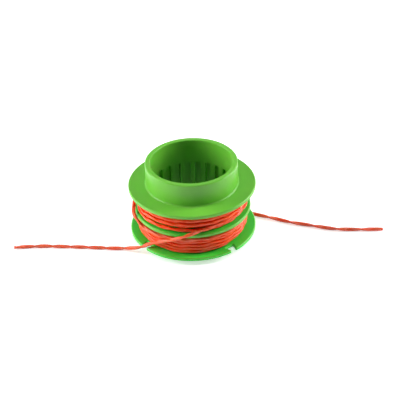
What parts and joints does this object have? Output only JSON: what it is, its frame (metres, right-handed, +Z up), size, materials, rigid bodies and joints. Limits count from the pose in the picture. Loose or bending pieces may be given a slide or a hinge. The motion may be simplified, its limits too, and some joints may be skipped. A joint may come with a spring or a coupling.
{
  "type": "trimmer line spool",
  "caption": "Green plastic spool for a garden trimmer, with a tall collar, a grooved bore and red twisted line wound in its channels.",
  "frame": {"origin": "centre of the foot's underside, on the spool's axis", "axes": "+Z up along the spool's axis, from the foot to the collar; -Y towards the viewer"},
  "size_m": [0.1823, 0.0624, 0.0397],
  "materials": {
    "spool_green": "moulded, satin gloss",
    "line_red": "extruded and twisted, glossy"
  },
  "bodies": {
    "root": {"spool": "spool_green", "upper_winding": "line_red", "lower_winding": "line_red", "left_line_end": "line_red", "right_line_end": "line_red"}
  },
  "joints": []
}
